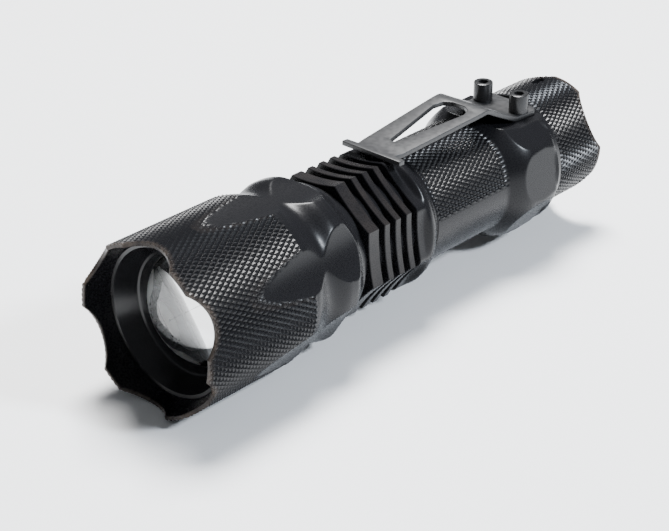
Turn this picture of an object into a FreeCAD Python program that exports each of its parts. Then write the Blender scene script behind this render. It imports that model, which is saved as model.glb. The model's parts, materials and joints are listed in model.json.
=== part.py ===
import FreeCAD, Part

import math
import os

import Sketcher

# Tactical flashlight with a sliding, zooming head. The optical axis runs along Y with the lens
# towards -Y, the pocket clip is on top, and +Z is up. Lengths are in millimetres. Each piece is
# drawn about the optical axis with the front rim at station 0, and its Placement lowers the front
# rim to the front of the finished part, whose origin is at the bottom centre of its bounding box.

doc = FreeCAD.newDocument("flashlight")
sheet = doc.addObject("Spreadsheet::Sheet", "Sizes")

DRIVING_SIZES = [
    # overall
    ("total_length", 95.6),
    # head, outside
    ("head_radius", 13.5),
    ("crown_depth", 2.2),
    ("crown_cutter_radius", 6.6),
    ("crown_centre_angle", 65.5),
    ("knurl_end", 21.8),
    ("waist_radius", 12.25),
    ("waist_station", 26.0),
    ("rear_ring_radius", 13.05),
    ("rear_ring_station", 29.3),
    ("head_end_radius", 10.9),
    ("head_end", 34.7),
    ("flute_radius", 13.5),
    ("flute_tilt", 5.2),
    ("flute_start", 9.5),
    # head, inside
    ("rim_bore_radius", 12.75),
    ("ring_pocket_radius", 12.0),
    ("ring_pocket_station", 4.1),
    ("lens_pocket_station", 9.1),
    ("lens_pocket_radius", 10.15),
    ("lens_ledge_station", 12.3),
    ("lens_ledge_radius", 9.0),
    ("lens_ledge_thickness", 0.9),
    ("head_bore_radius", 10.5),
    ("head_lip_station", 30.5),
    ("head_lip_radius", 10.1),
    # ring that holds the lens
    ("funnel_front_radius", 11.3),
    ("funnel_front_station", 4.4),
    ("funnel_rear_radius", 9.7),
    ("funnel_rear_station", 7.6),
    ("lens_window_radius", 8.8),
    # lens
    ("lens_radius", 10.0),
    ("lens_edge_thickness", 2.2),
    ("lens_dome_height", 4.2),
    ("lens_dome_radius", 8.7),
    # main tube
    ("led_tube_radius", 10.0),
    ("led_tube_front", 13.6),
    ("pill_bore_radius", 8.25),
    ("pill_bore_end", 23.6),
    ("battery_bore_radius", 7.3),
    ("zoom_groove_station", 18.0),
    ("zoom_groove_width", 1.8),
    ("zoom_groove_radius", 8.95),
    ("stop_groove_station", 23.2),
    ("stop_groove_width", 1.0),
    ("stop_groove_radius", 9.5),
    ("fin_start", 36.2),
    ("fin_radius", 11.75),
    ("fin_root_radius", 9.8),
    ("first_fin_width", 2.3),
    ("fin_width", 1.2),
    ("fin_pitch", 2.5),
    ("fin_scallop_radius", 31.0),
    ("fin_scallop_bottom", 10.5),
    ("fin_scallop_end", 48.6),
    ("fin_scallop_angle", 38.5),
    ("neck_end", 50.7),
    ("neck_radius", 11.5),
    ("barrel_radius", 9.85),
    ("barrel_start", 53.0),
    ("barrel_end", 71.0),
    ("collar_front_radius", 12.0),
    ("collar_front", 75.6),
    ("collar_radius", 12.15),
    ("collar_station", 78.5),
    ("collar_rear_radius", 11.9),
    ("collar_rear", 81.4),
    ("collar_end", 83.4),
    ("collar_shoulder_radius", 10.9),
    ("collar_facet_height", 11.3),
    ("clip_flat_height", 8.8),
    ("clip_flat_front", 76.8),
    ("clip_ramp_front", 72.0),
    ("tail_neck_radius", 8.7),
    ("tail_neck_end", 87.8),
    ("tail_groove_station", 84.2),
    ("tail_groove_width", 1.1),
    ("tail_groove_radius", 7.95),
    # clip
    ("clip_thickness", 0.8),
    ("clip_hinge_station", 78.0),
    ("clip_hinge_clearance", 0.06),
    ("clip_peak_station", 70.3),
    ("clip_peak_height", 13.5),
    ("clip_foot_station", 51.0),
    ("clip_foot_height", 12.05),
    ("clip_tip_station", 47.9),
    ("clip_tip_height", 12.1),
    ("clip_half_width", 5.15),
    ("clip_foot_half_width", 4.15),
    ("clip_bar_half_width", 5.95),
    ("clip_bar_length", 1.3),
    ("plate_half_width", 5.5),
    ("plate_waist_station", 82.4),
    ("plate_end", 83.6),
    ("screw_spacing", 7.46),
    ("screw_station", 80.4),
    ("screw_head_radius", 1.6),
    ("screw_head_height", 3.2),
    ("screw_shank_radius", 0.95),
    ("screw_tip_height", 7.3),
    ("screw_socket_size", 1.5),
    ("screw_socket_depth", 1.5),
    # light engine
    ("board_radius", 8.0),
    ("led_board_station", 14.0),
    ("led_board_thickness", 1.4),
    ("led_size", 3.4),
    ("led_height", 0.7),
    ("led_dome_radius", 1.25),
    ("pill_radius", 8.15),
    ("pill_end", 23.4),
    ("pill_top_thickness", 1.6),
    ("pill_cavity_radius", 7.2),
    ("driver_station", 21.2),
    ("driver_thickness", 1.2),
    # battery
    ("battery_radius", 7.05),
    ("battery_front", 29.5),
    ("battery_rear", 79.0),
    ("battery_button_radius", 2.75),
    ("battery_button_front", 28.5),
    # tailcap
    ("cap_radius", 10.3),
    ("cap_front", 83.75),
    ("cap_bore_radius", 8.8),
    ("cap_seal_radius", 9.1),
    ("cap_seal_end", 85.6),
    ("cap_web_front", 89.6),
    ("cap_web_rear", 90.5),
    ("cap_hole_radius", 6.0),
    ("cap_recess_radius", 9.0),
    ("cap_crown_depth", 2.4),
    ("cap_crown_cutter_radius", 6.6),
    ("cap_crown_centre_angle", 59.7),
    ("lanyard_slot_angle", -6.0),
    ("lanyard_slot_radius", 0.6),
    ("lanyard_slot_front", 91.5),
    ("lanyard_slot_rear", 92.7),
    # switch
    ("boot_flange_radius", 8.6),
    ("boot_flange_front", 89.0),
    ("boot_dome_radius", 5.6),
    ("boot_top", 92.6),
    ("boot_wall", 1.0),
    ("washer_front", 88.7),
    ("holder_flange_front", 88.3),
    ("holder_front", 81.6),
    ("holder_radius", 6.9),
    ("holder_bore_radius", 6.2),
    ("housing_radius", 6.1),
    ("housing_front", 83.1),
    ("housing_rear", 88.3),
    ("plunger_radius", 2.4),
    ("plunger_collar_radius", 3.6),
    ("plunger_rear", 91.4),
    ("switch_board_front", 82.2),
    ("contact_ring_radius", 7.5),
    # springs and seals
    ("seal_section_radius", 0.7),
    ("tail_seal_section_radius", 0.52),
    ("wire_radius", 0.3),
    ("switch_wire_radius", 0.2),
]

for row, (alias, size) in enumerate(DRIVING_SIZES, start=1):
    sheet.set(f"A{row}", alias)
    sheet.set(f"B{row}", str(size))
    sheet.setAlias(f"B{row}", alias)
doc.recompute()

CROWN_LOBES = 6
CAP_LOBES = 4
BODY_FACETS = 8
SLIM_FINS = 3
NOTCH_CUTTER_FOOT = 5.0  # how far from the axis the cutters of the end notches start
WHOLE_TURN = 360.0
AXIS_Y = FreeCAD.Vector(0, 1, 0)
AXIS_X = FreeCAD.Vector(1, 0, 0)
subparts = []


def size_of(expression):
    """The present value of an expression written with the sheet's aliases."""
    return float(sheet.evalExpression(expression))


def bound(expression):
    """The same expression as another object writes it, with each alias under the sheet's name."""
    words = []
    for word in expression.replace("(", " ( ").replace(")", " ) ").split():
        known = any(word == alias for alias, _ in DRIVING_SIZES)
        words.append(f"Sizes.{word}" if known else word)
    return " ".join(words)


def place(piece, label):
    """Name a finished piece and bring it from the optical axis to its place in the part."""
    piece.Label = label
    piece.Placement.Base = FreeCAD.Vector(0, -size_of("total_length") / 2, size_of("head_radius"))
    piece.setExpression("Placement.Base.y", bound("( 0 - total_length ) / 2"))
    piece.setExpression("Placement.Base.z", bound("head_radius"))
    subparts.append(piece)
    return piece


def origin_feature(body, role):
    """An origin plane or axis of a body, found by its role."""
    return next(feature for feature in body.Origin.OriginFeatures if feature.Role == role)


def new_sketch(body, name, plane="XY_Plane"):
    sketch = body.newObject("Sketcher::SketchObject", name)
    sketch.AttachmentSupport = [(origin_feature(body, plane), "")]
    sketch.MapMode = "FlatFace"
    return sketch


def fix_point(sketch, edge, end, across, along):
    """Hold one end of a sketched edge at a pair of sheet expressions."""
    for kind, expression in (("DistanceX", across), ("DistanceY", along)):
        number = sketch.addConstraint(Sketcher.Constraint(kind, edge, end, size_of(expression)))
        sketch.setExpression(f"Constraints[{number}]", bound(expression))


def outline(sketch, corners):
    """Draw a closed outline through (across, along) corners, each held by the sheet."""
    places = [FreeCAD.Vector(size_of(across), size_of(along), 0) for across, along in corners]
    for number, (across, along) in enumerate(corners):
        finish = places[(number + 1) % len(corners)]
        edge = sketch.addGeometry(Part.LineSegment(places[number], finish), False)
        fix_point(sketch, edge, 1, across, along)


def turned_body(name, corners):
    """A body turned about the optical axis from an outline of (radius, station) corners."""
    body = doc.addObject("PartDesign::Body", name)
    sketch = new_sketch(body, f"{name}_section")
    outline(sketch, corners)
    turning = body.newObject("PartDesign::Revolution", f"{name}_turning")
    turning.Profile = sketch
    turning.ReferenceAxis = (origin_feature(body, "Y_Axis"), [""])
    turning.Angle = WHOLE_TURN
    doc.recompute()
    return body


def ring_corners(inner, outer, front, rear):
    return [(inner, front), (outer, front), (outer, rear), (inner, rear)]


def along_axis(station, across="0", height="0", tilt=0.0):
    """A placement whose local Z runs rearwards along the optical axis, and may tip towards it."""
    base = FreeCAD.Vector(size_of(across), size_of(station), size_of(height))
    return FreeCAD.Placement(base, FreeCAD.Rotation(AXIS_X, -90 - tilt))


def turned_round(placement, angle):
    """The same placement carried round the optical axis, from the top towards +X."""
    return FreeCAD.Placement(FreeCAD.Vector(), FreeCAD.Rotation(AXIS_Y, angle)).multiply(placement)


def cylinder(name, radius, length, placement):
    piece = doc.addObject("Part::Cylinder", name)
    piece.setExpression("Radius", bound(radius))
    piece.setExpression("Height", bound(length))
    piece.Placement = placement
    return piece


def block(name, width, depth, height, corner):
    piece = doc.addObject("Part::Box", name)
    piece.setExpression("Length", bound(width))
    piece.setExpression("Width", bound(depth))
    piece.setExpression("Height", bound(height))
    piece.Placement.Base = FreeCAD.Vector(*[size_of(word) for word in corner])
    return piece


def joined(name, pieces):
    union = doc.addObject("Part::MultiFuse", name)
    union.Shapes = pieces
    doc.recompute()
    return union


def cut_away(name, base, cutters):
    """The base less its cutters, checked to have lost some volume."""
    result = doc.addObject("Part::Cut", name)
    result.Base = base
    result.Tool = cutters[0] if len(cutters) == 1 else joined(f"{name}_cutters", cutters)
    doc.recompute()
    if result.Shape.Volume >= base.Shape.Volume - 1e-6:
        raise RuntimeError(f"{name} cuts nothing")
    return result


def fixed_shape(name, shape):
    """A piece whose shape is worked out by Part's own functions."""
    piece = doc.addObject("Part::Feature", name)
    piece.Shape = shape
    return piece


# ---------------------------------------------------------------- head and optics

def radial_cutters(name, count, first_angle, station, radius, inner):
    """Cylinders that lie radially, evenly round the optical axis, for the notches of a crown."""
    cutters = []
    for number in range(count):
        upward = FreeCAD.Placement(FreeCAD.Vector(0, size_of(station), inner), FreeCAD.Rotation())
        place_there = turned_round(upward, size_of(first_angle) + WHOLE_TURN / count * number)
        cutters.append(cylinder(f"{name}_{number}", radius, "head_radius", place_there))
    return cutters


def make_head():
    blank = turned_body("head_blank", [
        ("rim_bore_radius", "0"),
        ("head_radius", "0"),
        ("head_radius", "knurl_end"),
        ("waist_radius", "waist_station - 1.4"),
        ("waist_radius - 0.15", "waist_station"),
        ("waist_radius + 0.05", "waist_station + 1.4"),
        ("rear_ring_radius", "rear_ring_station"),
        ("rear_ring_radius", "rear_ring_station + 1.4"),
        ("rear_ring_radius - 0.8", "rear_ring_station + 2.9"),
        ("head_end_radius", "head_end"),
        ("head_lip_radius", "head_end"),
        ("head_lip_radius", "head_lip_station"),
        ("head_bore_radius", "head_lip_station"),
        ("head_bore_radius", "lens_ledge_station + lens_ledge_thickness"),
        ("lens_ledge_radius", "lens_ledge_station + lens_ledge_thickness"),
        ("lens_ledge_radius", "lens_ledge_station"),
        ("lens_pocket_radius", "lens_ledge_station"),
        ("lens_pocket_radius", "lens_pocket_station"),
        ("ring_pocket_radius", "lens_pocket_station"),
        ("ring_pocket_radius", "ring_pocket_station"),
    ])
    notch_station = "crown_depth - crown_cutter_radius"
    notches = radial_cutters("crown_notch", CROWN_LOBES, "crown_centre_angle", notch_station,
                             "crown_cutter_radius", NOTCH_CUTTER_FOOT)
    flutes = []
    for number in range(CROWN_LOBES):
        tipped = along_axis("flute_start", "0", "head_radius + flute_radius", size_of("flute_tilt"))
        turn = size_of("crown_centre_angle") + WHOLE_TURN / CROWN_LOBES * number
        flutes.append(cylinder(f"flute_{number}", "flute_radius", "head_end", turned_round(tipped, turn)))
    return place(cut_away("head_cut", blank, notches + flutes), "head_bezel")


def make_bezel_ring():
    return place(turned_body("ring_blank", [
        ("funnel_front_radius", "funnel_front_station"),
        ("ring_pocket_radius", "ring_pocket_station + 0.3"),
        ("ring_pocket_radius", "lens_pocket_station"),
        ("lens_window_radius", "lens_pocket_station"),
        ("lens_window_radius", "lens_pocket_station - 0.3"),
        ("funnel_rear_radius - 0.3", "funnel_rear_station + 0.2"),
        ("funnel_rear_radius", "funnel_rear_station"),
    ]), "bezel_ring")


def make_lens():
    """A flat-backed condenser lens: a short edge and a deep round dome."""
    edge_front = size_of("lens_pocket_station")
    edge_rear = edge_front + size_of("lens_edge_thickness")
    outer = size_of("lens_radius")
    dome = size_of("lens_dome_radius")
    vertex_station = edge_front - size_of("lens_dome_height")
    vertex = FreeCAD.Vector(0, vertex_station, 0)
    foot = FreeCAD.Vector(dome, edge_front, 0)
    shoulder = FreeCAD.Vector(dome * 0.52, vertex_station, 0)
    flank = FreeCAD.Vector(dome * 0.9, (edge_front + vertex_station) / 2, 0)
    curve = Part.BezierCurve()
    curve.setPoles([vertex, shoulder, flank, foot])
    corners = [foot, FreeCAD.Vector(outer, edge_front, 0), FreeCAD.Vector(outer, edge_rear, 0)]
    corners += [FreeCAD.Vector(0, edge_rear, 0), vertex]
    section = Part.Wire([curve.toShape()] + Part.makePolygon(corners).Edges)
    solid = Part.Face(section).revolve(FreeCAD.Vector(), AXIS_Y, WHOLE_TURN)
    return place(fixed_shape("lens_blank", solid), "lens")


def make_seal(label, groove_radius, section, station):
    """An O-ring about the optical axis, seated on a groove's floor or on an outside face."""
    ring = doc.addObject("Part::Torus", f"{label}_ring")
    ring.setExpression("Radius1", bound(f"{groove_radius} + {section} + 0.02"))
    ring.setExpression("Radius2", bound(section))
    doc.recompute()
    shape = ring.Shape.transformGeometry(along_axis(station).Matrix)
    return place(fixed_shape(f"{label}_seated", shape), label)


# ---------------------------------------------------------------- main tube

def tube_corners():
    corners = [
        ("pill_bore_radius", "led_tube_front"),
        ("led_tube_radius - 0.3", "led_tube_front"),
        ("led_tube_radius", "led_tube_front + 0.3"),
        ("led_tube_radius", "zoom_groove_station"),
        ("zoom_groove_radius", "zoom_groove_station"),
        ("zoom_groove_radius", "zoom_groove_station + zoom_groove_width"),
        ("led_tube_radius", "zoom_groove_station + zoom_groove_width"),
        ("led_tube_radius", "stop_groove_station"),
        ("stop_groove_radius", "stop_groove_station"),
        ("stop_groove_radius", "stop_groove_station + stop_groove_width"),
        ("led_tube_radius", "stop_groove_station + stop_groove_width"),
        ("led_tube_radius", "fin_start"),
        ("fin_radius", "fin_start"),
        ("fin_radius", "fin_start + first_fin_width"),
    ]
    for number in range(SLIM_FINS):
        gap = f"fin_start + first_fin_width + fin_pitch * {number}"
        rear = f"fin_start + first_fin_width + fin_pitch * {number + 1}"
        corners += [
            ("fin_root_radius", gap),
            ("fin_root_radius", f"{rear} - fin_width"),
            ("fin_radius", f"{rear} - fin_width"),
            ("fin_radius", rear),
        ]
    neck_gap = f"fin_start + first_fin_width + fin_pitch * {SLIM_FINS}"
    corners += [
        ("fin_root_radius", neck_gap),
        ("fin_root_radius", f"{neck_gap} + fin_pitch - fin_width"),
        ("neck_radius", f"{neck_gap} + fin_pitch - fin_width"),
        ("neck_radius", "neck_end"),
        ("barrel_radius + 0.5", "neck_end + 0.9"),
        ("barrel_radius", "barrel_start"),
        ("barrel_radius", "barrel_end"),
        ("barrel_radius + 0.8", "barrel_end + 0.6"),
        ("collar_front_radius - 0.5", "collar_front - 1.9"),
        ("collar_front_radius", "collar_front"),
        ("collar_radius", "collar_station"),
        ("collar_rear_radius", "collar_rear"),
        ("collar_rear_radius - 0.7", "collar_rear + 0.8"),
        ("collar_shoulder_radius", "collar_end"),
        ("tail_neck_radius", "collar_end"),
        ("tail_neck_radius", "tail_groove_station"),
        ("tail_groove_radius", "tail_groove_station"),
        ("tail_groove_radius", "tail_groove_station + tail_groove_width"),
        ("tail_neck_radius", "tail_groove_station + tail_groove_width"),
        ("tail_neck_radius", "tail_neck_end"),
        ("battery_bore_radius", "tail_neck_end"),
        ("battery_bore_radius", "pill_bore_end"),
        ("pill_bore_radius", "pill_bore_end"),
    ]
    return corners


def flat_for_clip():
    """The milled flat across the top of the collar, with a ramp down to it from the barrel."""
    half = size_of("collar_radius") + 2
    flat = size_of("clip_flat_height")
    high = size_of("collar_radius") + 2
    side = [
        (size_of("clip_ramp_front") - 1.2, high),
        (size_of("clip_ramp_front") - 0.4, size_of("barrel_radius") + 0.1),
        (size_of("clip_ramp_front") + 0.5, size_of("barrel_radius") - 0.3),
        (size_of("clip_flat_front"), flat),
        (size_of("collar_end") + 0.2, flat),
        (size_of("collar_end") + 0.2, high),
    ]
    points = [FreeCAD.Vector(-half, station, height) for station, height in side]
    face = Part.Face(Part.makePolygon(points + points[:1]))
    return fixed_shape("clip_flat_cutter", face.extrude(FreeCAD.Vector(2 * half, 0, 0)))


def collar_facets():
    """Slabs that mill eight flats round the collar, in line with the scallops of the fins."""
    width = size_of("collar_radius")
    length = size_of("collar_end - barrel_end") + 0.1
    slabs = []
    for number in range(BODY_FACETS):
        corner = FreeCAD.Vector(-width / 2, size_of("barrel_end"), size_of("collar_facet_height"))
        turn = size_of("fin_scallop_angle") + WHOLE_TURN / BODY_FACETS * number
        slab = doc.addObject("Part::Box", f"collar_facet_{number}")
        slab.Length = width
        slab.Width = length
        slab.Height = size_of("head_radius - collar_facet_height")
        slab.Placement = turned_round(FreeCAD.Placement(corner, FreeCAD.Rotation()), turn)
        slabs.append(slab)
    return slabs


def make_main_body():
    blank = turned_body("tube_blank", tube_corners())
    scallops = []
    for number in range(BODY_FACETS):
        outside = along_axis("fin_start - 0.5", "0", "fin_scallop_radius + fin_scallop_bottom")
        turn = size_of("fin_scallop_angle") + WHOLE_TURN / BODY_FACETS * number
        cutter = cylinder(f"fin_scallop_{number}", "fin_scallop_radius",
                          "fin_scallop_end - fin_start + 0.5", turned_round(outside, turn))
        scallops.append(cutter)
    holes = []
    for side in (-1, 1):
        hole_foot = FreeCAD.Placement(
            FreeCAD.Vector(side * size_of("screw_spacing") / 2, size_of("screw_station"),
                           size_of("screw_tip_height") - 0.2),
            FreeCAD.Rotation())
        holes.append(cylinder(f"screw_hole_{side + 2}", "screw_shank_radius + 0.02",
                              "clip_flat_height", hole_foot))
    cutters = scallops + collar_facets() + holes + [flat_for_clip()]
    return place(cut_away("tube_cut", blank, cutters), "main_body")


# ---------------------------------------------------------------- clip and its screws

def sheet_strip(path, half_thickness):
    """The side outline, in the plane of Y and Z, of a metal strip that follows a path."""
    upper = []
    lower = []
    for number, point in enumerate(path):
        before = path[max(number - 1, 0)]
        after = path[min(number + 1, len(path) - 1)]
        arriving = (point - before).normalize() if number else (after - point).normalize()
        leaving = (after - point).normalize() if number < len(path) - 1 else arriving
        middle = (arriving + leaving).normalize()
        reach = half_thickness / max(middle.dot(leaving), 0.2)
        normal = FreeCAD.Vector(0, -middle.z, middle.y)
        upper.append(point + normal * reach)
        lower.append(point - normal * reach)
    corners = upper + lower[::-1]
    return Part.Face(Part.makePolygon(corners + corners[:1]))


def plan_solid(points, low, high):
    """A prism over an outline in plan, between two heights."""
    corners = [FreeCAD.Vector(across, station, low) for across, station in points]
    face = Part.Face(Part.makePolygon(corners + corners[:1]))
    return face.extrude(FreeCAD.Vector(0, 0, high - low))


def arm_plan():
    """The outline of the springy arm in plan: a broad root, tapering rails and a cross-bar."""
    root = size_of("clip_half_width")
    foot = size_of("clip_foot_half_width")
    bar = size_of("clip_bar_half_width")
    hinge = size_of("clip_hinge_station") + 2
    foot_station = size_of("clip_foot_station")
    bar_rear = size_of("clip_tip_station") + size_of("clip_bar_length")
    tip = size_of("clip_tip_station")
    right = [(root, hinge), (root, size_of("clip_peak_station")), (foot, foot_station),
             (foot - 0.4, bar_rear), (bar, bar_rear), (bar, tip)]
    return right + [(-across, station) for across, station in reversed(right)]


def arm_slot():
    """The tear-drop slot between the arm's two rails: wide near the peak, pointed at the foot."""
    wide = size_of("clip_half_width") - 2.1
    rear = size_of("clip_peak_station") - 1.0
    front = size_of("clip_foot_station") + 2.2
    right = [(0.5, front), (wide, rear - 2.5), (wide - 0.5, rear - 0.8), (wide - 1.6, rear)]
    outline_points = right + [(-across, station) for across, station in reversed(right)]
    return plan_solid(outline_points, 0, 40)


def make_clip_arm():
    half_thickness = size_of("clip_thickness") / 2
    centre_height = size_of("clip_flat_height") + half_thickness
    hinge = FreeCAD.Vector(0, size_of("clip_hinge_station"), centre_height)
    peak = FreeCAD.Vector(0, size_of("clip_peak_station"), size_of("clip_peak_height"))
    foot = FreeCAD.Vector(0, size_of("clip_foot_station"), size_of("clip_foot_height"))
    tip = FreeCAD.Vector(0, size_of("clip_tip_station"), size_of("clip_tip_height"))
    rounding = FreeCAD.Vector(0, 1.1, -0.6)
    rounding_front = FreeCAD.Vector(0, -1.5, 0.0)
    path = [hinge, peak + rounding, peak, peak + rounding_front, foot, tip]
    half = size_of("clip_bar_half_width") + 1
    strip = sheet_strip(path, half_thickness)
    strip.translate(FreeCAD.Vector(-half, 0, 0))
    ribbon = strip.extrude(FreeCAD.Vector(2 * half, 0, 0))
    arm = ribbon.common(plan_solid(arm_plan(), 0, 40)).cut(arm_slot())
    root = size_of("clip_half_width")
    bead = Part.makeCylinder(half_thickness, 2 * root, hinge - FreeCAD.Vector(root, 0, 0), AXIS_X)
    solid = arm.fuse(bead).removeSplitter()
    return place(fixed_shape("clip_arm_sheet", solid), "clip_arm")


def make_clip_plate():
    flat = size_of("clip_flat_height")
    top = flat + size_of("clip_thickness")
    hinge_station = size_of("clip_hinge_station")
    waist = size_of("plate_waist_station")
    right = [(size_of("clip_half_width"), hinge_station), (size_of("plate_half_width"), waist),
             (size_of("plate_half_width") - 1.0, size_of("plate_end"))]
    points = right + [(-across, station) for across, station in reversed(right)]
    plate = fixed_shape("clip_plate_blank", plan_solid(points, flat, top))
    middle = flat + size_of("clip_thickness") / 2
    across = FreeCAD.Placement(FreeCAD.Vector(-size_of("plate_half_width"), hinge_station, middle),
                               FreeCAD.Rotation(FreeCAD.Vector(0, 1, 0), 90))
    cutters = [cylinder("plate_groove", "clip_thickness / 2 + clip_hinge_clearance",
                        "plate_half_width * 2", across)]
    for side in (-1, 1):
        foot = FreeCAD.Placement(
            FreeCAD.Vector(side * size_of("screw_spacing") / 2, size_of("screw_station"), 0),
            FreeCAD.Rotation())
        cutters.append(cylinder(f"plate_hole_{side + 2}", "screw_shank_radius + 0.1",
                                "head_radius", foot))
    return place(cut_away("clip_plate_cut", plate, cutters), "clip_plate")


def make_clip_screws():
    """Two socket-head screws, kept as two solids in one piece because they are the same."""
    top = size_of("clip_flat_height + clip_thickness")
    screws = []
    for side in (-1, 1):
        foot = FreeCAD.Vector(side * size_of("screw_spacing") / 2, size_of("screw_station"), 0)
        tip = foot + FreeCAD.Vector(0, 0, size_of("screw_tip_height"))
        seat = foot + FreeCAD.Vector(0, 0, top)
        shank = Part.makeCylinder(size_of("screw_shank_radius"), seat.z - tip.z, tip)
        cap = Part.makeCylinder(size_of("screw_head_radius"), size_of("screw_head_height"), seat)
        rim = [edge for edge in cap.Edges if edge.BoundBox.ZMin > seat.z + 1]
        cap = cap.makeChamfer(0.25, rim)
        flats = size_of("screw_socket_size") / 2 / math.cos(math.radians(30))
        corners = []
        for number in range(7):
            spoke = FreeCAD.Rotation(FreeCAD.Vector(0, 0, 1), 60 * number)
            corner = spoke.multVec(FreeCAD.Vector(flats, 0, 0))
            corners.append(seat + corner + FreeCAD.Vector(0, 0, size_of("screw_head_height")))
        socket = Part.Face(Part.makePolygon(corners)).extrude(
            FreeCAD.Vector(0, 0, -size_of("screw_socket_depth")))
        screws.append(shank.fuse(cap).removeSplitter().cut(socket))
    return place(fixed_shape("clip_screw_pair", Part.makeCompound(screws)), "clip_screws")


# ---------------------------------------------------------------- light engine and battery

def make_pill():
    return place(turned_body("pill_blank", [
        ("0", "led_board_station + led_board_thickness"),
        ("pill_radius", "led_board_station + led_board_thickness"),
        ("pill_radius", "pill_end"),
        ("pill_cavity_radius", "pill_end"),
        ("pill_cavity_radius", "led_board_station + led_board_thickness + pill_top_thickness"),
        ("0", "led_board_station + led_board_thickness + pill_top_thickness"),
    ]), "pill")


def make_disc(name, label, radius, front, thickness):
    rear = f"{front} + {thickness}"
    return place(turned_body(name, ring_corners("0", radius, front, rear)), label)


def make_led_emitter():
    side = size_of("led_size")
    front = size_of("led_board_station")
    height = size_of("led_height")
    package = Part.makeBox(side, height, side, FreeCAD.Vector(-side / 2, front - height, -side / 2))
    dome = Part.makeSphere(size_of("led_dome_radius"), FreeCAD.Vector(0, front - height, 0))
    ahead = Part.makeBox(side, side, side, FreeCAD.Vector(-side / 2, front - height - side, -side / 2))
    solid = package.fuse(dome.common(ahead)).removeSplitter()
    return place(fixed_shape("led_package", solid), "led_emitter")


def make_battery():
    return place(turned_body("battery_blank", [
        ("0", "battery_button_front"),
        ("battery_button_radius", "battery_button_front"),
        ("battery_button_radius", "battery_front"),
        ("battery_radius - 0.6", "battery_front"),
        ("battery_radius", "battery_front + 0.6"),
        ("battery_radius", "battery_rear - 0.5"),
        ("battery_radius - 0.5", "battery_rear"),
        ("0", "battery_rear"),
    ]), "battery_cell")


def make_spring(label, front, rear, wire, front_radius, rear_radius, coils):
    """A round-wire spring between two stations, its end coils tapering where the radii differ."""
    start = size_of(front) + size_of(wire)
    length = size_of(rear) - size_of(wire) - start
    radius = size_of(front_radius)
    cone_angle = 0.0
    if front_radius != rear_radius:
        cone_angle = math.degrees(math.atan2(size_of(rear_radius) - radius, length))
    helix = Part.makeLongHelix(length / coils, length, radius, cone_angle)
    begin = helix.Edges[0].valueAt(helix.Edges[0].FirstParameter)
    heading = helix.Edges[0].tangentAt(helix.Edges[0].FirstParameter)
    ring = Part.Wire(Part.makeCircle(size_of(wire), begin, heading))
    solid = helix.makePipeShell([ring], True, True)
    spring = Part.Solid(solid) if solid.ShapeType != "Solid" else solid
    lying = along_axis("0")
    lying.Base.y = start
    return place(fixed_shape(f"{label}_wire", spring.transformGeometry(lying.Matrix)), label)


# ---------------------------------------------------------------- tailcap and switch

def lanyard_slot():
    """A radial slot with round ends through the rear skirt of the cap, long side along the axis."""
    angle = size_of("lanyard_slot_angle")
    half_width = size_of("lanyard_slot_radius")
    front = size_of("lanyard_slot_front")
    inside = size_of("boot_dome_radius")
    pieces = []
    for end in ("lanyard_slot_front", "lanyard_slot_rear"):
        upward = FreeCAD.Placement(FreeCAD.Vector(0, size_of(end), inside), FreeCAD.Rotation())
        pieces.append(cylinder(f"{end}_end", "lanyard_slot_radius", "head_radius",
                               turned_round(upward, angle)))
    middle = doc.addObject("Part::Box", "lanyard_slot_middle")
    middle.Length = 2 * half_width
    middle.Width = size_of("lanyard_slot_rear") - front
    middle.Height = size_of("head_radius")
    corner = FreeCAD.Placement(FreeCAD.Vector(-half_width, front, inside), FreeCAD.Rotation())
    middle.Placement = turned_round(corner, angle)
    return pieces + [middle]


def make_tailcap():
    blank = turned_body("cap_blank", [
        ("cap_seal_radius", "cap_front"),
        ("cap_radius - 0.5", "cap_front"),
        ("cap_radius", "cap_front + 0.5"),
        ("cap_radius", "total_length - 0.3"),
        ("cap_radius - 0.3", "total_length"),
        ("cap_recess_radius + 0.2", "total_length"),
        ("cap_recess_radius", "total_length - 0.2"),
        ("cap_recess_radius", "cap_web_rear"),
        ("cap_hole_radius", "cap_web_rear"),
        ("cap_hole_radius", "cap_web_front"),
        ("cap_bore_radius", "cap_web_front"),
        ("cap_bore_radius", "cap_seal_end"),
        ("cap_seal_radius", "cap_seal_end"),
    ])
    notch_station = "total_length - cap_crown_depth + cap_crown_cutter_radius"
    cutters = radial_cutters("cap_notch", CAP_LOBES, "cap_crown_centre_angle", notch_station,
                             "cap_crown_cutter_radius", NOTCH_CUTTER_FOOT)
    return place(cut_away("cap_cut", blank, cutters + lanyard_slot()), "tailcap")


def make_switch_boot():
    return place(turned_body("boot_blank", [
        ("0", "boot_top"),
        ("boot_dome_radius - 2.4", "boot_top - 0.12"),
        ("boot_dome_radius - 0.9", "boot_top - 0.65"),
        ("boot_dome_radius - 0.1", "boot_top - 1.6"),
        ("boot_dome_radius", "cap_web_front"),
        ("boot_flange_radius", "cap_web_front - 0.02"),
        ("boot_flange_radius", "boot_flange_front"),
        ("boot_dome_radius - boot_wall", "boot_flange_front"),
        ("boot_dome_radius - boot_wall", "boot_top - 1.7"),
        ("boot_dome_radius - boot_wall - 1.4", "boot_top - boot_wall - 0.1"),
        ("0", "boot_top - boot_wall"),
    ]), "switch_boot")


def make_switch_holder():
    return place(turned_body("holder_blank", [
        ("holder_bore_radius", "holder_front"),
        ("holder_radius", "holder_front"),
        ("holder_radius", "holder_flange_front"),
        ("boot_flange_radius", "holder_flange_front"),
        ("boot_flange_radius", "washer_front"),
        ("plunger_collar_radius + 0.3", "washer_front"),
        ("plunger_collar_radius + 0.3", "housing_rear + 0.1"),
        ("holder_bore_radius", "housing_rear + 0.1"),
    ]), "switch_holder")


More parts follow.
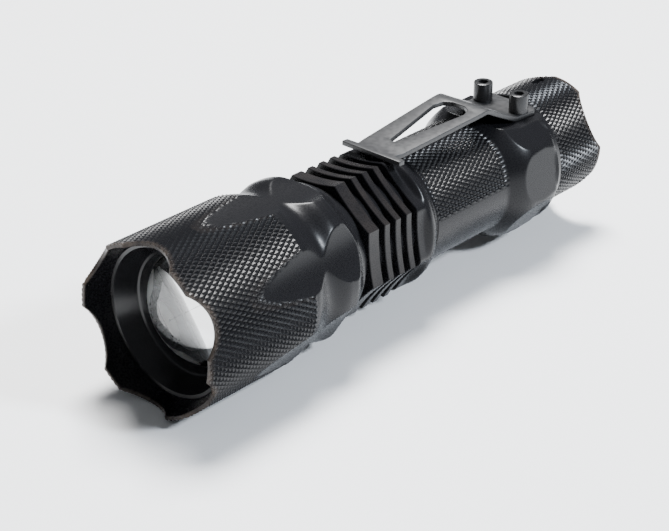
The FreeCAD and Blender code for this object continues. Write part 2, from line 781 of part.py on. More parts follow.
def make_switch_housing():
    return place(turned_body("housing_blank", [
        ("0", "housing_front"),
        ("housing_radius", "housing_front"),
        ("housing_radius", "housing_rear"),
        ("plunger_radius + 0.05", "housing_rear"),
        ("plunger_radius + 0.05", "housing_rear - 0.9"),
        ("plunger_collar_radius + 0.4", "housing_rear - 0.9"),
        ("plunger_collar_radius + 0.4", "housing_front + 0.8"),
        ("0", "housing_front + 0.8"),
    ]), "switch_housing")


def make_switch_plunger():
    return place(turned_body("plunger_blank", [
        ("0", "housing_rear - 2.1"),
        ("plunger_collar_radius", "housing_rear - 2.1"),
        ("plunger_collar_radius", "housing_rear - 1.0"),
        ("plunger_radius", "housing_rear - 1.0"),
        ("plunger_radius", "plunger_rear - 0.4"),
        ("plunger_radius - 0.4", "plunger_rear"),
        ("0", "plunger_rear"),
    ]), "switch_plunger")


def make_ring(name, label, inner, outer, front, rear):
    return place(turned_body(name, ring_corners(inner, outer, front, rear)), label)


def make_snap_ring():
    """The spring-steel ring in the tube's groove that stops the head: a ring with a gap."""
    ring = turned_body("stop_ring_blank", ring_corners(
        "stop_groove_radius + 0.05", "head_bore_radius - 0.1",
        "stop_groove_station + 0.05", "stop_groove_station + stop_groove_width - 0.05"))
    gap = block("stop_ring_gap", "2.4", "fin_pitch", "led_tube_radius",
                ("0 - 1.2", "stop_groove_station - 0.5", "0 - head_radius"))
    return place(cut_away("stop_ring_cut", ring, [gap]), "head_stop_ring")


def make_all():
    make_head()
    make_bezel_ring()
    make_lens()
    make_seal("lens_oring", "lens_ledge_radius + 0.2", "0.43", "lens_ledge_station - 0.45")
    make_seal("zoom_oring", "zoom_groove_radius", "seal_section_radius",
              "zoom_groove_station + zoom_groove_width / 2")
    make_snap_ring()
    make_main_body()
    make_clip_arm()
    make_clip_plate()
    make_clip_screws()
    make_pill()
    make_disc("led_board_disc", "led_board", "board_radius", "led_board_station",
              "led_board_thickness")
    make_led_emitter()
    make_disc("driver_disc", "driver_board", "pill_cavity_radius - 0.05", "driver_station",
              "driver_thickness")
    make_spring("driver_spring", "driver_station + driver_thickness", "battery_button_front",
                "wire_radius", "battery_button_radius + 0.6", "battery_button_radius - 0.7", 4)
    make_battery()
    make_tailcap()
    make_seal("tail_oring", "tail_groove_radius", "tail_seal_section_radius",
              "tail_groove_station + tail_groove_width / 2")
    make_switch_boot()
    make_ring("washer_blank", "boot_washer", "boot_dome_radius - boot_wall", "boot_flange_radius",
              "washer_front", "boot_flange_front")
    make_switch_holder()
    make_switch_housing()
    make_switch_plunger()
    make_spring("switch_spring", "housing_front + 0.85", "housing_rear - 2.15", "switch_wire_radius",
                "plunger_radius", "plunger_radius", 4)
    make_disc("switch_disc", "switch_board", "housing_radius", "switch_board_front",
              "( housing_front - switch_board_front )")
    make_ring("contact_blank", "contact_ring", "contact_ring_radius", "boot_flange_radius",
              "holder_flange_front - 0.4", "holder_flange_front")
    make_spring("tail_spring", "battery_rear", "switch_board_front", "wire_radius",
                "battery_radius - 2.5", "battery_radius - 2.5", 3)


def check_and_write():
    doc.recompute()
    for item in doc.Objects:
        if "Invalid" in item.State or "Error" in item.State:
            raise RuntimeError(f"{item.Name} failed: {item.State}")
    os.makedirs("parts", exist_ok=True)
    for piece in subparts:
        if piece.Shape.isNull() or not piece.Shape.isValid():
            raise RuntimeError(f"{piece.Label} has a bad shape")
        piece.Shape.exportStep(f"parts/{piece.Label}.step")


make_all()
check_and_write()
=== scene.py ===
import json
import math

import bmesh
import bpy
import numpy as np
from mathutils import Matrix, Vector


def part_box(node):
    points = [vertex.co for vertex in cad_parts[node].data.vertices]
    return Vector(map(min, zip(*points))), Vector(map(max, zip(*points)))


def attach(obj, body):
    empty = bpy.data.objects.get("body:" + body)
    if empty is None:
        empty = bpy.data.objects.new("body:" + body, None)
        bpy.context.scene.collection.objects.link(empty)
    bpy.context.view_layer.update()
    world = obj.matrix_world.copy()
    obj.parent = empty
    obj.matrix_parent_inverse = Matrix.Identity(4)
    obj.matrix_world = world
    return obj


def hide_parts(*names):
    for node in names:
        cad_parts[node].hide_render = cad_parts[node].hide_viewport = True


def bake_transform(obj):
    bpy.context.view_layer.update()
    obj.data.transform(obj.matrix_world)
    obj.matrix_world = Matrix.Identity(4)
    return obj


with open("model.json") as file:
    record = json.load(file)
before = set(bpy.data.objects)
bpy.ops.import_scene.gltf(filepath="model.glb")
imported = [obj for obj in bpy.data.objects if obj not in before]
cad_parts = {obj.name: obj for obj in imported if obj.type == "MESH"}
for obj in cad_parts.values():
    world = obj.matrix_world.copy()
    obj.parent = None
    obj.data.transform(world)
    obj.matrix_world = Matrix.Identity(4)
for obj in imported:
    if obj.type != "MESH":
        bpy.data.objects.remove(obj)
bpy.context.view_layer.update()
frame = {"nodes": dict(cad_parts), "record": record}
scene = bpy.context.scene

# The light lies along +Y. A place on it is a radius, a station behind the front rim and an
# angle that runs from the top towards +X, in millimetres and degrees.
MM = 0.001
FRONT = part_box("head_bezel")[0].y
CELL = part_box("battery_cell")
AXIS_HEIGHT = (CELL[0].z + CELL[1].z) / 2

# The head
HEAD_RADIUS = 13.5
HEAD_COLUMNS = 384
CROWN = {"first": 65.5, "count": 6, "cutter": 6.6, "depth": 2.2}
FLUTE_CUTTER = 13.5
FLUTE_OFFSET = 27.0
FLUTE_START = 9.5
FLUTE_SLOPE = math.tan(math.radians(5.2))

# The body
FIN_ROOT_RADIUS = 9.8
FIN_RADIUS = 11.75
FINS = ((36.2, 38.5), (39.8, 41.0), (42.3, 43.5), (44.8, 46.0))
NECK_RADIUS = 11.5
NECK_FRONT = 47.3
SCALLOP_END = 48.6
BARREL_RADIUS = 9.85
BARREL_FRONT = 53.0
BARREL_REAR = 71.0
BODY_COLUMNS = 288
FACETS = {"first": 38.5, "count": 8}
SCALLOP_CUTTER = 31.0
SCALLOP_OFFSET = 41.5
COLLAR_APOTHEM = 11.3
TAIL_THREAD_RADIUS = 8.7
PLAIN_STRIP = (82.0, 136.0)  # the angles between which the barrel is smooth

# The tailcap
CAP_RADIUS = 10.3
CAP_FRONT = 83.75
CAP_REAR = 95.6
TAIL = {"first": 59.7, "count": 4, "cutter": 6.6, "depth": 2.4}
LANYARD = {"angle": -6.0, "front": 91.5, "rear": 92.7, "half_width": 0.62}

# The knurling is a grid of diamonds, two columns and two rows to each slope
KNURL_ROW = 0.3825
KNURL_DEPTH = 0.28
CHAMFER = 0.12
FIN_CHAMFER = 0.1
CREASE = math.radians(32)
UNLIMITED = 99.0  # the radius that a cutter leaves where it cuts nothing


def placed(x, station, z):
    """A point of the light's own coordinates, in metres in the frame."""
    return Vector((x * MM, FRONT + station * MM, AXIS_HEIGHT + z * MM))


# ---------------------------------------------------------------- materials

def material(name, colour, roughness, metallic=0.0, **inputs):
    """A material with one shader, whose other inputs are named with underscores."""
    made = bpy.data.materials.new(name)
    made.use_nodes = True
    shader = made.node_tree.nodes["Principled BSDF"]
    shader.inputs["Base Color"].default_value = (*colour, 1)
    shader.inputs["Roughness"].default_value = roughness
    shader.inputs["Metallic"].default_value = metallic
    for label, value in inputs.items():
        shader.inputs[label.replace("_", " ")].default_value = value
    return made


def noise(tree, scale, detail=4.0):
    """Noise laid out in the object's own coordinates."""
    place = tree.nodes.new("ShaderNodeTexCoord")
    made = tree.nodes.new("ShaderNodeTexNoise")
    made.inputs["Scale"].default_value = scale
    made.inputs["Detail"].default_value = detail
    tree.links.new(place.outputs["Object"], made.inputs["Vector"])
    return made.outputs["Fac"]


def spread(tree, value, low, high):
    """The middle part of a noise value, stretched over low to high."""
    made = tree.nodes.new("ShaderNodeMapRange")
    made.inputs["From Min"].default_value = 0.3
    made.inputs["From Max"].default_value = 0.7
    made.inputs["To Min"].default_value = low
    made.inputs["To Max"].default_value = high
    tree.links.new(value, made.inputs["Value"])
    return made.outputs["Result"]


def shader_of(made):
    return made.node_tree.nodes["Principled BSDF"]


def uneven(made, scale, low, high, bump=0.0):
    """Gives a material a roughness that varies, and a fine grain where bump is set."""
    tree = made.node_tree
    value = noise(tree, scale)
    tree.links.new(spread(tree, value, low, high), shader_of(made).inputs["Roughness"])
    if bump:
        relief = tree.nodes.new("ShaderNodeBump")
        relief.inputs["Strength"].default_value = bump
        relief.inputs["Distance"].default_value = 0.02 * MM
        tree.links.new(value, relief.inputs["Height"])
        tree.links.new(relief.outputs["Normal"], shader_of(made).inputs["Normal"])
    return made


def worn(made, colour, rubbed):
    """Mixes the rubbed colour in along the edges, by the wear attribute and some noise."""
    tree = made.node_tree
    wear = tree.nodes.new("ShaderNodeAttribute")
    wear.attribute_name = "wear"
    patch = tree.nodes.new("ShaderNodeMath")
    patch.operation = "MULTIPLY"
    tree.links.new(wear.outputs["Fac"], patch.inputs[0])
    tree.links.new(spread(tree, noise(tree, 420.0, 6.0), 0.1, 0.9), patch.inputs[1])
    mix = tree.nodes.new("ShaderNodeMix")
    mix.data_type = "RGBA"
    mix.inputs[6].default_value = (*colour, 1)
    mix.inputs[7].default_value = (*rubbed, 1)
    tree.links.new(patch.outputs[0], mix.inputs[0])
    tree.links.new(mix.outputs[2], shader_of(made).inputs["Base Color"])
    return made


BLACK = (0.006, 0.006, 0.007)
RUBBED = (0.10, 0.08, 0.066)
ANODISED = worn(material("anodised", BLACK, 0.32, Specular_IOR_Level=0.17), BLACK, RUBBED)
uneven(ANODISED, 3500.0, 0.24, 0.32)
SMOOTH = uneven(material("smooth_anodised", BLACK, 0.25, Specular_IOR_Level=0.4), 3500.0, 0.2, 0.27)
CLIP = uneven(material("clip_steel", (0.018, 0.018, 0.019), 0.42, 0.05), 1200.0, 0.36, 0.5, 0.15)
SCREW = uneven(material("screw_steel", (0.03, 0.03, 0.031), 0.3, 0.6), 1500.0, 0.24, 0.36)
SPRING = material("spring_steel", (0.55, 0.55, 0.56), 0.22, 1.0)
GLASS = material("lens", (0.97, 0.985, 0.99), 0.02, IOR=1.5, Transmission_Weight=1.0)
SEAL = material("seal_rubber", (0.022, 0.022, 0.022), 0.55)
RUBBER = uneven(material("boot_rubber", (0.02, 0.02, 0.02), 0.62), 1800.0, 0.55, 0.7, 0.2)
BRASS = uneven(material("brass", (0.62, 0.46, 0.19), 0.3, 1.0), 800.0, 0.22, 0.38)
BOARD = material("board_white", (0.6, 0.6, 0.57), 0.45)
PHOSPHOR = material("phosphor", (0.86, 0.72, 0.18), 0.3, Coat_Weight=0.8)
GREEN = material("board_green", (0.03, 0.16, 0.06), 0.35)
SLEEVE = material("cell_sleeve", (0.12, 0.18, 0.26), 0.3)
PLASTIC = material("switch_plastic", (0.028, 0.028, 0.03), 0.45)
BY_SLOT = {"anodised": ANODISED, "smooth_anodised": SMOOTH, "clip_steel": CLIP, "screw_steel": SCREW,
           "spring_steel": SPRING, "lens": GLASS, "seal_rubber": SEAL, "boot_rubber": RUBBER,
           "brass": BRASS, "board_white": BOARD, "phosphor": PHOSPHOR, "board_green": GREEN,
           "cell_sleeve": SLEEVE, "switch_plastic": PLASTIC}

for part in frame["record"]["subparts"]:
    node = frame["nodes"][part["node"]]
    node.data.materials.clear()
    node.data.materials.append(BY_SLOT[part["material_slot"]])


# ---------------------------------------------------------------- turned surfaces

def angles(columns, start=0.0):
    return start + np.arange(columns) * 360.0 / columns


def linked(name, mesh, made):
    piece = bpy.data.objects.new(name, mesh)
    scene.collection.objects.link(piece)
    mesh.materials.append(made)
    return piece


def surface(name, rows, angle, made, crease=CREASE):
    """A closed turned skin from rows of (radius, station, knurl row or None, wear).

    Each row may vary with the angle. Between two rows of the knurl the quads are split along
    the ridges, so that the diamonds come out crisp."""
    count = len(angle)
    radians = np.radians(angle)
    sine, cosine = np.sin(radians), np.cos(radians)
    points = []
    wear = []
    for radius, station, _, rubbed in rows:
        radius = np.broadcast_to(radius, count)
        x = radius * sine * MM
        y = FRONT + np.broadcast_to(station, count) * MM
        z = AXIS_HEIGHT + radius * cosine * MM
        points.append(np.stack([x, y, z], axis=1))
        wear.append(np.broadcast_to(rubbed, count))
    faces = []
    for row, (here, after) in enumerate(zip(rows, rows[1:] + rows[:1])):
        near = row * count
        far = ((row + 1) % len(rows)) * count
        for column in range(count):
            beside = (column + 1) % count
            a, b, c, d = near + column, near + beside, far + beside, far + column
            if here[2] is None or after[2] is None:
                faces.append((a, b, c, d))
            elif (here[2] + column) % 2 == 0:
                faces.extend([(a, b, c), (a, c, d)])
            else:
                faces.extend([(a, b, d), (b, c, d)])
    mesh = bpy.data.meshes.new(name)
    mesh.from_pydata(np.concatenate(points).tolist(), [], faces)
    mesh.attributes.new("wear", "FLOAT", "POINT").data.foreach_set(
        "value", np.concatenate(wear).astype(np.float32))
    mesh.polygons.foreach_set("use_smooth", [True] * len(mesh.polygons))
    mesh.set_sharp_from_angle(angle=crease)
    return linked(name, mesh, made)


def plain(*corners, wear=0.0):
    """Rows for corners of a plain profile, each (radius, station)."""
    return [(radius, station, None, wear) for radius, station in corners]


def triangle_wave(value):
    return 1 - np.abs(2 * (value % 1) - 1)


def knurl(column, row):
    """How far a point of the knurling lies below the ridges' tips."""
    across = column / 4.0
    along = row / 4.0
    height = np.minimum(triangle_wave(across + along), triangle_wave(across - along))
    return KNURL_DEPTH * (1 - np.interp(height, [0, 0.5, 1], [0, 0.62, 1]))


def from_centres(angle, first, count):
    """Each angle's distance in radians from the nearest of the evenly spaced centres."""
    pitch = 360.0 / count
    return np.radians((angle - first + pitch / 2) % pitch - pitch / 2)


def notch(angle, radius, shape):
    """How deep the end notches cut at each angle, for a skin of this radius."""
    away = radius * np.sin(from_centres(angle, shape["first"], shape["count"]))
    reach = np.sqrt(np.maximum(shape["cutter"] ** 2 - away ** 2, 0))
    return np.clip(reach - (shape["cutter"] - shape["depth"]), 0, None)


def scalloped(angle, distance, cutter, first, count):
    """The radius left by round cutters that lie beside the light at this distance."""
    away = from_centres(angle, first, count)
    inside = cutter ** 2 - (distance * np.sin(away)) ** 2
    return np.where(inside > 0, distance * np.cos(away) - np.sqrt(np.maximum(inside, 0)), UNLIMITED)


def eased_share(share):
    """A share of a rise that starts and ends level."""
    return (1 - math.cos(math.pi * share)) / 2


def eased(station, points):
    """A profile through points (station, radius) that levels out at each of them."""
    for (start, low), (end, high) in zip(points, points[1:]):
        if station <= end:
            return low + (high - low) * eased_share((station - start) / (end - start))
    return points[-1][1]


# ---------------------------------------------------------------- head

def flutes(angle, station):
    """The radius that the six tapering flutes of the head leave."""
    distance = FLUTE_OFFSET - FLUTE_SLOPE * np.maximum(station - FLUTE_START, 0)
    left = scalloped(angle, distance, FLUTE_CUTTER, CROWN["first"], CROWN["count"])
    return np.where(station >= FLUTE_START, left, UNLIMITED)


def head():
    """The knurled head: crown, six flutes, waist and rear ring."""
    angle = angles(HEAD_COLUMNS)
    column = np.arange(HEAD_COLUMNS)
    crown = notch(angle, HEAD_RADIUS, CROWN)
    rows = [(12.87, crown, None, 0.7)]
    rows.append((HEAD_RADIUS - CHAMFER - knurl(column, 0) * 0.6, crown + 0.02, None, 1.0))
    last = 56
    for row in range(last + 1):
        station = np.maximum(row * KNURL_ROW, crown + CHAMFER + 0.003 * row)
        below = knurl(column, row)
        left = flutes(angle, station)
        rubbed = np.clip(1 - (station - crown) / 0.9, 0, 1) * 0.9
        ridge = np.clip(1 - np.abs(left - HEAD_RADIUS) / 0.2, 0, 1) * 0.12
        radius = np.minimum(HEAD_RADIUS - below, left)
        rows.append((radius, station, row, np.maximum(rubbed, ridge)))
    waist = [(21.8, 13.2), (25.9, 12.1), (29.6, 13.05), (30.6, 13.05), (34.7, 10.9)]
    for station in np.linspace(21.8, 34.7, 56):
        rows.append((np.minimum(eased(station, waist), flutes(angle, station)), station, None, 0.0))
    rows += plain((10.8, 34.8), (10.2, 34.8), (10.1, 34.7), (10.1, 30.5), (10.5, 30.4), (10.5, 13.2))
    rows += plain((9.0, 13.2), (9.0, 12.3), (10.15, 12.3), (10.15, 9.1), (12.0, 9.1), (12.0, 4.1))
    rows.append((12.75, crown + 0.3, None, 0.0))
    rows.append((12.75, crown + CHAMFER, None, 0.5))
    piece = surface("head_skin", rows, angle, ANODISED)
    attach(piece, "head")
    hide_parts("head_bezel")


def bezel():
    """The smooth funnel that holds the lens."""
    rows = plain((9.7, 7.6), (9.4, 7.8), (8.8, 8.8), (8.8, 9.1), (12.0, 9.1), (12.0, 4.4), (11.8, 4.3),
                 (11.3, 4.4), (11.22, 4.55))
    rows.reverse()
    piece = surface("bezel_funnel", rows, angles(192), SMOOTH, math.radians(24))
    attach(piece, "head")
    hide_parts("bezel_ring")


def lens():
    """A plano-convex lens with a flat rim."""
    poles = [(0.02, 4.9), (4.52, 4.9), (7.83, 7.0), (8.7, 9.1)]
    rows = []
    for share in np.linspace(0, 1, 28):
        rest = 1 - share
        weights = (rest ** 3, 3 * rest ** 2 * share, 3 * rest * share ** 2, share ** 3)
        radius = sum(weight * pole[0] for weight, pole in zip(weights, poles))
        station = sum(weight * pole[1] for weight, pole in zip(weights, poles))
        rows.append((radius, station, None, 0.0))
    rows += plain((9.95, 9.12), (10.0, 9.2), (10.0, 11.2), (9.95, 11.28), (0.02, 11.28))
    piece = surface("lens_glass", rows, angles(144), GLASS, math.radians(24))
    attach(piece, "head")
    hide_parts("lens")


# ---------------------------------------------------------------- body

def neck_rows(scallop):
    """The neck: scalloped like the fins in front, then round, then a fillet down to the barrel."""
    rows = []
    for station in np.linspace(NECK_FRONT + FIN_CHAMFER, 50.4, 16):
        runout = min(max((station - SCALLOP_END) / 1.2, 0.0), 1.0)
        crown = NECK_RADIUS - 0.12 * max(station - 49.4, 0.0) ** 2
        rounded = scallop + (NECK_RADIUS - scallop) * eased_share(runout)
        rows.append((np.minimum(rounded, crown), station, None, 0.0))
    for share in np.linspace(0, 1, 12):
        drop = (NECK_RADIUS - 0.1 - BARREL_RADIUS) * eased_share(share ** 0.8)
        rows.append((NECK_RADIUS - 0.3 - drop, 50.75 + 2.25 * share, None, 0.0))
    return rows


def collar_rows(angle):
    """The collar: a fillet up from the barrel, a low crest with eight facets, and a shoulder."""
    facet = COLLAR_APOTHEM / np.cos(from_centres(angle, **FACETS))
    rows = []
    for station in np.linspace(BARREL_REAR, 76.0, 26):
        rise = BARREL_RADIUS + 2.2 * math.sin(math.pi / 2 * (station - BARREL_REAR) / 5.0)
        milled = np.minimum(facet, clip_flat(angle, station))
        rows.append((np.minimum(min(rise, 12.03), milled), station, None, 0.0))
    for station in np.linspace(76.4, 81.4, 12):
        crest = np.interp(station, [76.0, 78.5, 81.4], [12.05, 12.15, 11.9])
        milled = np.minimum(facet, clip_flat(angle, station))
        rows.append((np.minimum(crest, milled), station, None, 0.0))
    for radius, station in ((11.6, 81.85), (11.2, 82.2), (10.95, 83.3), (10.85, 83.4)):
        rows.append((np.minimum(radius, clip_flat(angle, station)), station, None, 0.0))
    return rows


def body():
    """The one-piece tube: LED tube, fins, neck, knurled barrel, collar and tail thread."""
    angle = angles(BODY_COLUMNS, 16.0)
    column = np.arange(BODY_COLUMNS)
    fins = scalloped(angle, SCALLOP_OFFSET, SCALLOP_CUTTER, **FACETS)
    rows = plain((9.9, 13.65), (10.0, 13.75), (10.0, 17.95), (9.0, 18.0), (9.0, 19.8), (10.0, 19.85),
                 (10.0, 23.2), (9.5, 23.25), (9.5, 24.2), (10.0, 24.25), (10.0, 36.15))
    root = np.minimum(FIN_ROOT_RADIUS, fins)
    shoulder = np.minimum(FIN_RADIUS - FIN_CHAMFER, fins - FIN_CHAMFER)
    edge = np.minimum(FIN_RADIUS, fins)
    for start, end in FINS:
        rows.append((root, start, None, 0.0))
        rows.append((shoulder, start, None, 0.0))
        rows.append((edge, start + FIN_CHAMFER, None, 0.1))
        rows.append((edge, end - FIN_CHAMFER, None, 0.1))
        rows.append((shoulder, end, None, 0.0))
        rows.append((root, end, None, 0.0))
    rows.append((root, NECK_FRONT, None, 0.0))
    rows.append((np.minimum(NECK_RADIUS, fins) - FIN_CHAMFER, NECK_FRONT, None, 0.0))
    rows += neck_rows(np.minimum(NECK_RADIUS, fins))
    strip = np.minimum(angle - PLAIN_STRIP[0], PLAIN_STRIP[1] - angle)
    grip = 1 - np.clip(strip / 3.0 + 0.5, 0, 1)
    for row in range(139, 185):
        station = row * KNURL_ROW
        ends = min(1.0, (station - BARREL_FRONT) / 0.5, (BARREL_REAR - 0.1 - station) / 0.5)
        radius = BARREL_RADIUS - 0.06 - np.maximum(knurl(column, row) - 0.06, 0) * grip * max(ends, 0.0)
        rows.append((radius, station, row, 0.0))
    rows += collar_rows(angle)
    rows += plain((TAIL_THREAD_RADIUS, 83.4), (TAIL_THREAD_RADIUS, 84.15), (7.95, 84.2), (7.95, 85.3),
                  (TAIL_THREAD_RADIUS, 85.35), (TAIL_THREAD_RADIUS, 87.7), (8.6, 87.8), (7.3, 87.8),
                  (7.3, 23.7), (8.25, 23.6), (8.25, 13.7), (8.35, 13.6))
    piece = surface("body_skin", rows, angle, ANODISED)
    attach(piece, "tube")
    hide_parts("main_body")


def clip_flat(angle, station):
    """The radius left by the flat on top of the collar, which carries the clip."""
    height = np.interp(station, [70.8, 71.6, 72.5, 76.8, 83.6], [99.0, 9.95, 9.55, 8.8, 8.8])
    facing = np.cos(np.radians(angle))
    return np.where(facing > 0.3, height / np.maximum(facing, 0.3), UNLIMITED)


# ---------------------------------------------------------------- tailcap

def tailcap():
    """The knurled cap with its four notches and the slot for a lanyard."""
    count = 312
    angle = angles(count)
    column = np.arange(count)
    cut = notch(angle, CAP_RADIUS, TAIL)
    rear = CAP_REAR - cut
    rows = plain((9.1, CAP_FRONT + 0.1), (9.2, CAP_FRONT), (CAP_RADIUS - 0.35, CAP_FRONT))
    first = 220  # the knurl rows of the cap, counted from the front rim of the head
    last = 249
    for row in range(first, last + 1):
        station = np.minimum(row * KNURL_ROW, rear - CHAMFER - 0.003 * (last - row))
        front_end = min(1.0, (row - first) / 1.5)
        rubbed = np.clip(1 - (rear - station) / 0.8, 0, 1) * 0.95
        radius = CAP_RADIUS - 0.3 + (0.3 - knurl(column, row)) * front_end
        rows.append((*lanyard_slot(radius, station, angle), row, rubbed))
    rows.append((CAP_RADIUS - CHAMFER - 0.05, rear, None, 1.0))
    rows.append((9.1, rear, None, 0.6))
    rows.append((9.0, rear - 0.1, None, 0.2))
    rows += plain((9.0, 90.55), (8.95, 90.5), (6.1, 90.5), (6.0, 90.4), (6.0, 89.7), (6.1, 89.6),
                  (8.8, 89.6), (8.8, 85.65), (9.1, 85.6))
    piece = surface("tailcap_skin", rows, angle, ANODISED)
    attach(piece, "tail")
    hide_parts("tailcap")


def lanyard_slot(radius, station, angle):
    """Sinks the points inside the slot's outline to the recess behind the wall."""
    sideways = CAP_RADIUS * np.radians((angle - LANYARD["angle"] + 180) % 360 - 180)
    nearest = np.clip(station, LANYARD["front"], LANYARD["rear"])
    distance = np.hypot(sideways, station - nearest)
    return np.where(distance < LANYARD["half_width"], 9.03, radius), station


def boot():
    """The rubber cover of the button."""
    rows = plain((8.6, 89.0), (8.6, 89.58), (6.2, 89.58), (5.7, 89.7))
    for turn in np.linspace(0, 90, 16):
        slope = math.radians(turn)
        rows += plain((0.02 + 5.58 * math.cos(slope) ** 0.7, 90.1 + 2.5 * math.sin(slope)))
    rows += plain((0.02, 91.6), (3.4, 91.3), (4.6, 90.4), (4.7, 89.0))
    piece = surface("boot_skin", rows, angles(96), RUBBER, math.radians(40))
    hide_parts("switch_boot")
    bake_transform(piece)


# ---------------------------------------------------------------- clip

# The clip's drawn outer face as (station, height over the axis), from the tail to the tip
CLIP_PATH = [
    (83.6, 9.6), (78.6, 9.6), (78.1, 9.66), (77.6, 9.8), (72.1, 12.55), (71.4, 12.97), (70.75, 13.25),
    (70.1, 13.33), (69.2, 13.27), (60.5, 12.65), (52.0, 12.03), (50.6, 11.97), (49.2, 12.02), (47.9, 12.1)]


CLIP_THICKNESS = 0.8
CLIP_STATIONS = (83.6, 83.3, 83.0, 82.4, 81.0, 79.6, 78.6, 78.1, 77.6, 76.5, 74.0, 72.1, 71.4, 70.75,
                 70.1, 69.6, 69.3, 69.1, 68.8, 68.5, 68.0, 67.4, 66.8, *np.linspace(65.8, 54.5, 10),
                 53.5, 53.2, 52.0, 51.0, 50.6, 49.6, 49.25, 49.15, 48.4, 47.9)
SLOT_REAR = 69.3
SLOT_FRONT = 53.2


def clip_half_width(station):
    """The outline of the strip, seen from above."""
    return np.interp(station, [47.9, 49.15, 49.25, 51.0, 68.8, 71.0, 78.0, 79.0, 82.4, 83.0, 83.6],
                     [5.95, 5.95, 3.75, 4.15, 5.15, 5.15, 5.15, 5.22, 5.5, 5.15, 4.5])


def slot_half_width(station):
    """The slot between the two rails, wide near the peak and pointed at the foot."""
    return np.interp(station, [53.2, 53.5, 66.8, 68.5, 69.3], [0.3, 0.62, 3.05, 2.55, 1.2])


def clip():
    """One strip of spring steel: plate, bend, arm with its tapering slot, and cross-bar."""
    path_stations, path_heights = zip(*reversed(CLIP_PATH))
    heights = np.interp(CLIP_STATIONS, path_stations, path_heights)
    shape = bmesh.new()
    grid = []
    for station, height in zip(CLIP_STATIONS, heights):
        half = float(clip_half_width(station))
        gap = float(slot_half_width(station)) if SLOT_FRONT <= station <= SLOT_REAR else 0.5
        middle = height - CLIP_THICKNESS / 2
        grid.append([shape.verts.new(placed(x, station, middle)) for x in (-half, -gap, 0, gap, half)])
    for here, after, station, following in zip(grid, grid[1:], CLIP_STATIONS, CLIP_STATIONS[1:]):
        open_here = station <= SLOT_REAR and following >= SLOT_FRONT
        for column in range(4):
            if open_here and column in (1, 2):
                continue
            shape.faces.new((here[column], here[column + 1], after[column + 1], after[column]))
    loose = [vertex for vertex in shape.verts if not vertex.link_faces]
    bmesh.ops.delete(shape, geom=loose, context="VERTS")
    bmesh.ops.recalc_face_normals(shape, faces=shape.faces)
    mesh = bpy.data.meshes.new("clip_strip")
    shape.to_mesh(mesh)
    shape.free()
    piece = linked("clip_strip", mesh, CLIP)
    thick = piece.modifiers.new("thickness", "SOLIDIFY")
    thick.thickness = CLIP_THICKNESS * MM
    thick.offset = 0.0
    thick.use_even_offset = True
    rounding = piece.modifiers.new("edges", "BEVEL")
    rounding.width = 0.13 * MM
    rounding.segments = 3
    rounding.limit_method = "ANGLE"
    rounding.angle_limit = math.radians(50)
    evaluated = piece.evaluated_get(bpy.context.evaluated_depsgraph_get())
    finished = bpy.data.meshes.new_from_object(evaluated)
    piece.modifiers.clear()
    piece.data = finished
    finished.polygons.foreach_set("use_smooth", [True] * len(finished.polygons))
    finished.set_sharp_from_angle(angle=math.radians(35))
    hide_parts("clip_plate", "clip_arm")
    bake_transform(piece)


SCREW_OFFSET = 3.73
SCREW_STATION = 80.4


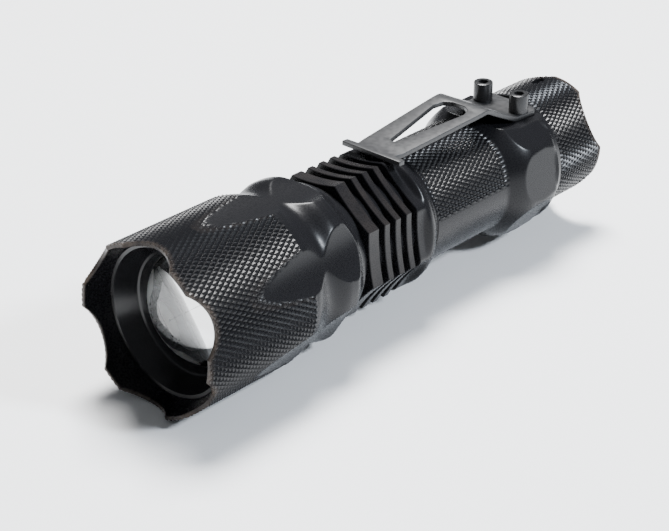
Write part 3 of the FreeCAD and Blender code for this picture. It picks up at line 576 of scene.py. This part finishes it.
def screw(name, x, station):
    """A socket cap screw standing on the clip's plate."""
    count = 48
    angle = angles(count)
    hexagon = 0.75 / np.cos(from_centres(angle, 0.0, 6))
    rows = [(0.95, 7.3), (0.95, 9.6), (1.55, 9.6), (1.6, 9.65), (1.6, 12.62), (1.56, 12.74), (1.46, 12.8),
            (hexagon + 0.05, 12.8), (hexagon, 12.75), (hexagon, 11.3), (0.02, 11.25), (0.02, 7.3)]
    shape = bmesh.new()
    rings = []
    for radius, height in rows:
        across = x + radius * np.cos(np.radians(angle))
        along = station + radius * np.sin(np.radians(angle))
        rings.append([shape.verts.new(placed(*place, height)) for place in zip(across, along)])
    for here, after in zip(rings, rings[1:] + rings[:1]):
        for column in range(count):
            beside = (column + 1) % count
            shape.faces.new((here[column], here[beside], after[beside], after[column]))
    bmesh.ops.recalc_face_normals(shape, faces=shape.faces)
    mesh = bpy.data.meshes.new(name)
    shape.to_mesh(mesh)
    shape.free()
    mesh.polygons.foreach_set("use_smooth", [True] * len(mesh.polygons))
    mesh.set_sharp_from_angle(angle=CREASE)
    piece = linked(name, mesh, SCREW)
    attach(piece, "tube")
    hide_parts("clip_screws")


head()
bezel()
lens()
body()
tailcap()
boot()
clip()
screw("screw_left", -SCREW_OFFSET, SCREW_STATION)
screw("screw_right", SCREW_OFFSET, SCREW_STATION)


# ---------------------------------------------------------------- surroundings

def floor():
    bpy.ops.mesh.primitive_plane_add(size=6, location=(0, 0, 0))
    piece = bpy.context.object
    piece.name = "floor"
    piece.data.materials.append(material("floor", (0.86, 0.865, 0.87), 0.55))


def softbox(name, place, width, height, power, colour=(1, 1, 1), target=(0, 0, 0.012)):
    data = bpy.data.lights.new(name, "AREA")
    data.shape = "RECTANGLE"
    data.size = width
    data.size_y = height
    data.energy = power
    data.color = colour
    lamp = bpy.data.objects.new(name, data)
    scene.collection.objects.link(lamp)
    lamp.location = place
    lamp.rotation_euler = (Vector(target) - Vector(place)).to_track_quat("-Z", "Y").to_euler()


def surroundings():
    floor()
    world = bpy.data.worlds.new("studio")
    scene.world = world
    world.use_nodes = True
    world.node_tree.nodes["Background"].inputs["Color"].default_value = (0.9, 0.94, 1.0, 1)
    world.node_tree.nodes["Background"].inputs["Strength"].default_value = 0.20
    softbox("overhead", (-0.18, 0.16, 0.60), 0.26, 0.24, 16.0)
    softbox("side", (0.46, 0.16, 0.40), 0.07, 0.09, 5.5, (0.84, 0.91, 1.0))


def camera():
    data = bpy.data.cameras.new("Camera")
    data.lens = 104.018
    data.sensor_width = 36
    data.clip_start = 0.005
    holder = bpy.data.objects.new("Camera", data)
    scene.collection.objects.link(holder)
    holder.location = (0.17975, -0.20391, 0.14917)
    target = Vector((0, -0.00806, 0.00884))
    holder.rotation_euler = (target - holder.location).to_track_quat("-Z", "Y").to_euler()
    scene.camera = holder


surroundings()
camera()
